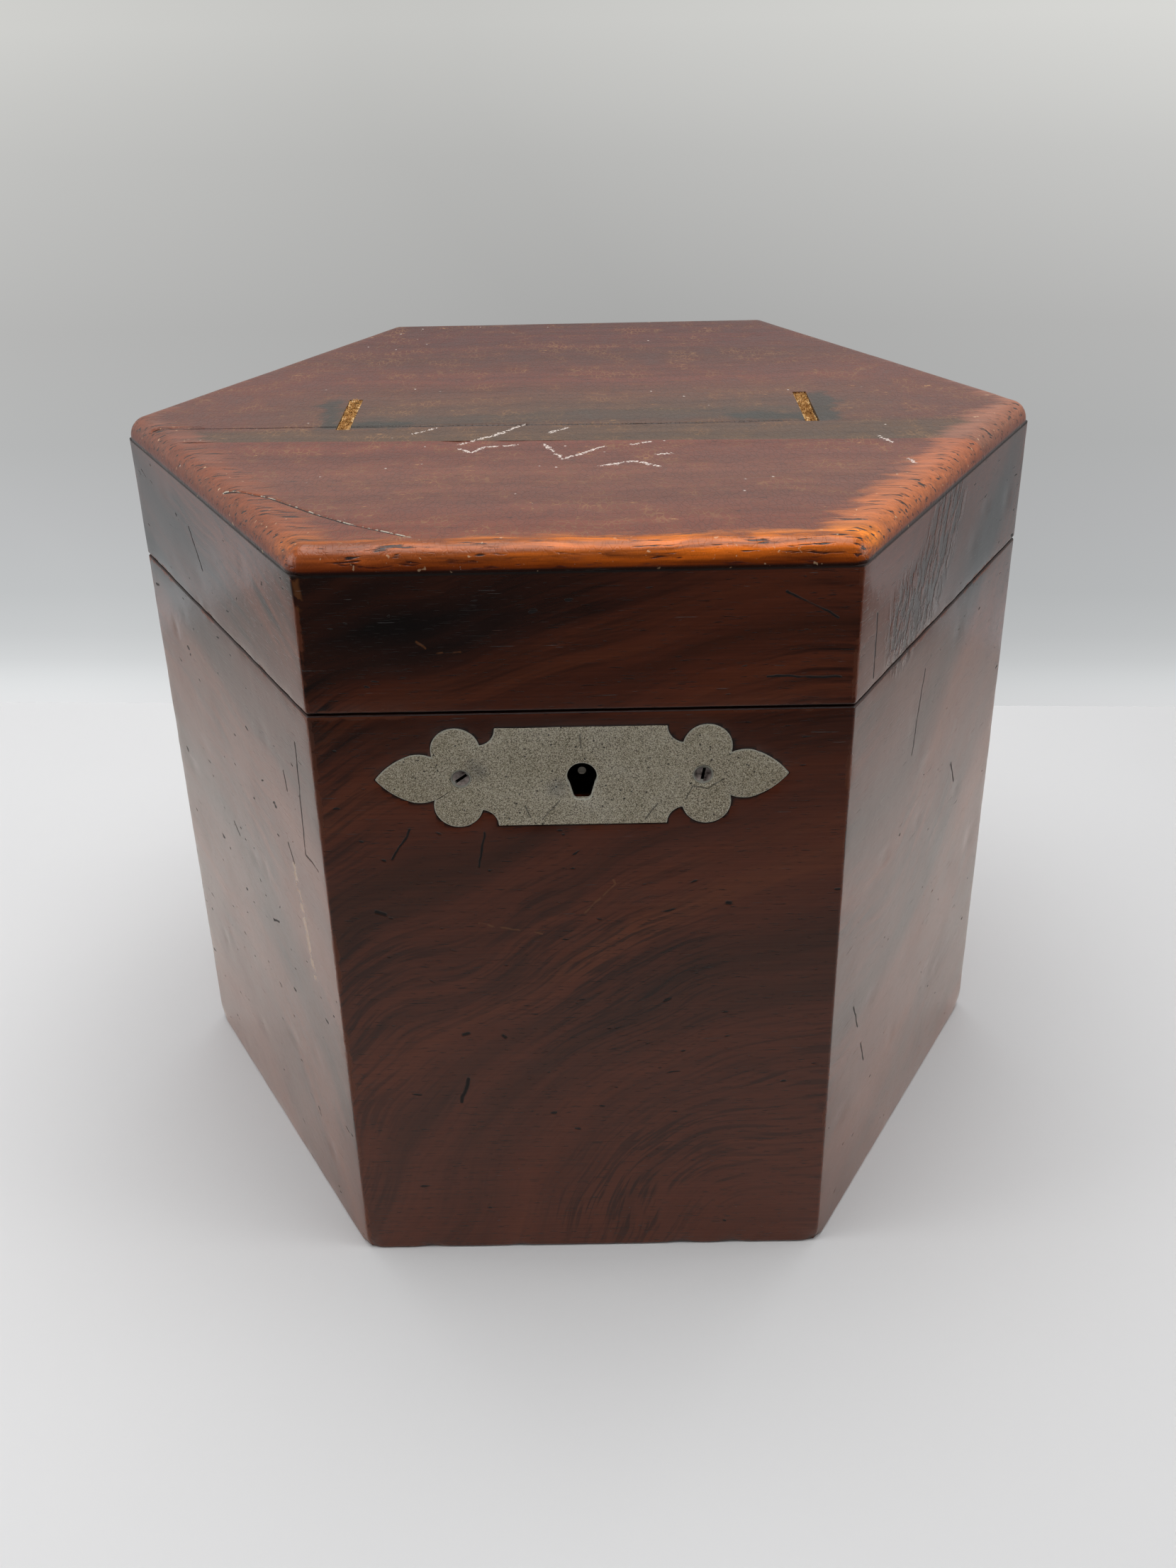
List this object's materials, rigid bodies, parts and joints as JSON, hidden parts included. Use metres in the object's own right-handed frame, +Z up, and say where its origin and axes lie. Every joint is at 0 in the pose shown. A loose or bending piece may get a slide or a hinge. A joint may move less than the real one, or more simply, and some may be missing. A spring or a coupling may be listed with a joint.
{
  "type": "concertina case",
  "caption": "Hexagonal hardwood case with a hinged lid, a keyed box lock behind a flush metal plate, baize lining and corner blocks for a small concertina.",
  "frame": {"origin": "centre of the underside", "axes": "+Z up, -Y out of the front wall with the lock, +Y towards the hinges; two corners of the hexagon lie on X"},
  "size_m": [0.2122, 0.1847, 0.1759],
  "materials": {
    "case_wood": "polished dark red-brown hardwood",
    "top_wood": "worn and crackled polish, honey-coloured edge",
    "bottom_wood": "bare planed hardwood",
    "baize": "woollen baize",
    "plate_metal": "dull tarnished nickel silver, fine pits",
    "brass": "aged brass",
    "steel": "darkened steel",
    "leather": "frayed tan leather"
  },
  "bodies": {
    "case": {"wall_front": "case_wood", "wall_front_right": "case_wood", "wall_rear_right": "case_wood", "wall_rear": "case_wood", "wall_rear_left": "case_wood", "wall_front_left": "case_wood", "bottom_board": "bottom_wood", "bottom_brads": "steel", "lining_front": "baize", "lining_front_right": "baize", "lining_rear_right": "baize", "lining_rear": "baize", "lining_rear_left": "baize", "lining_front_left": "baize", "lining_floor": "baize", "corner_blocks": "baize", "lock_plate": "plate_metal", "lock_plate_screws": "steel", "lock_back_plate": "brass", "lock_cap": "brass", "lock_drill_pin": "steel", "lock_ward": "brass", "lock_pillars": "brass", "lock_screws": "steel", "hinge_body_leaf_left": "brass", "hinge_body_leaf_right": "brass", "hinge_pin_left": "steel", "hinge_pin_right": "steel", "hinge_body_screws": "brass"},
    "lid": {"lid_wall_front": "case_wood", "lid_wall_front_right": "case_wood", "lid_wall_rear_right": "case_wood", "lid_wall_rear": "case_wood", "lid_wall_rear_left": "case_wood", "lid_wall_front_left": "case_wood", "top_board_front": "top_wood", "top_board_rear": "top_wood", "lid_lining_front": "baize", "lid_lining_front_right": "baize", "lid_lining_rear_right": "baize", "lid_lining_rear": "baize", "lid_lining_rear_left": "baize", "lid_lining_front_left": "baize", "lid_lining_top": "baize", "lid_corner_blocks": "baize", "link_plate": "brass", "link_plate_screws": "brass", "hinge_lid_leaf_left": "brass", "hinge_lid_leaf_right": "brass", "hinge_lid_screws": "brass", "strap_stub_left": "leather", "strap_stub_right": "leather", "strap_tacks": "steel"},
    "bolt": {"lock_bolt": "brass", "bolt_spring": "steel"}
  },
  "joints": [
    {"name": "lid_hinge", "type": "hinge", "parent": "case", "child": "lid", "pos_m": [0, 0.0905, 0.141], "axis": [-1, 0, 0], "range_deg": [0, 100]},
    {"name": "bolt_slide", "type": "slide", "parent": "case", "child": "bolt", "axis": [1, 0, 0], "range_m": [0, 0.0045]}
  ]
}
